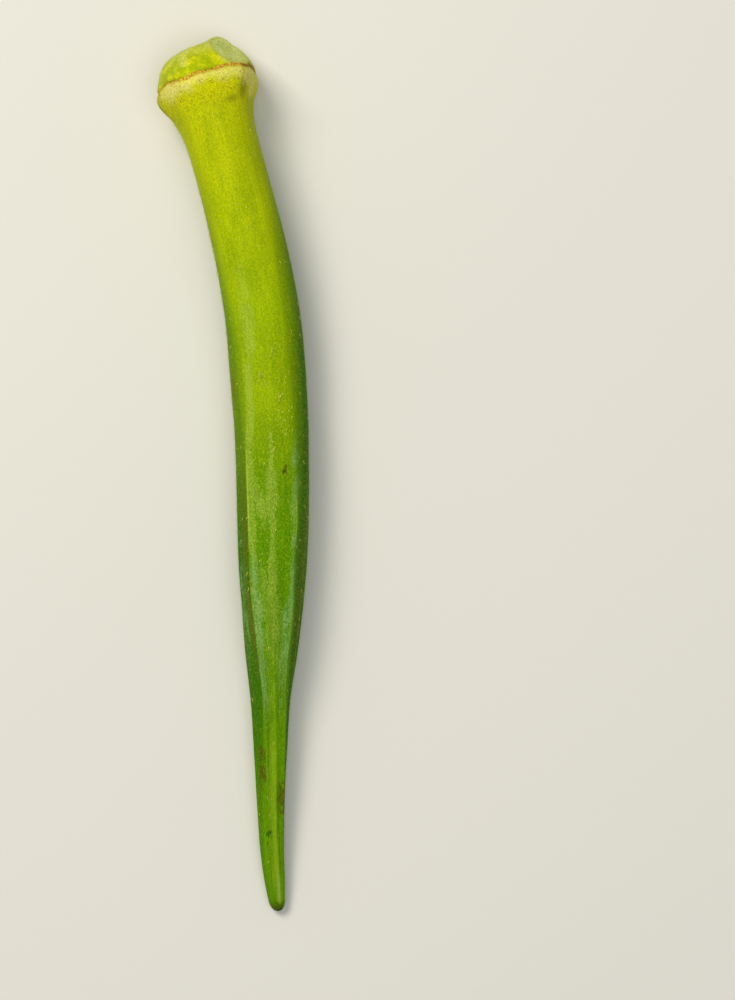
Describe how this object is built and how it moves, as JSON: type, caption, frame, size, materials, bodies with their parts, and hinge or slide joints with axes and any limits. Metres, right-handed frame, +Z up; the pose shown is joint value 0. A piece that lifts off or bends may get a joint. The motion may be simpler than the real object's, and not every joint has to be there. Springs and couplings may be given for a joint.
{
  "type": "okra pod",
  "caption": "Picked okra pod: a long, tapering, ribbed green pod with a flared collar, a corky scar ring and an angular stem cap cut across by a knife, lying on its side.",
  "frame": {"origin": "on the surface that the pod lies on, under the middle of the outline", "axes": "+Y runs along the pod from its tip to its cut stem, +Z is up off the surface, +X is to the right when seen from above with the stem at the top"},
  "size_m": [0.0334, 0.1932, 0.0223],
  "materials": {
    "pod": "satin, waxy green plant skin with fine pale hairs",
    "stem_cap": "satin, waxy yellow-green plant skin with a pale fibrous cut face"
  },
  "bodies": {
    "root": {"pod": "pod", "stem_cap": "stem_cap"}
  },
  "joints": []
}
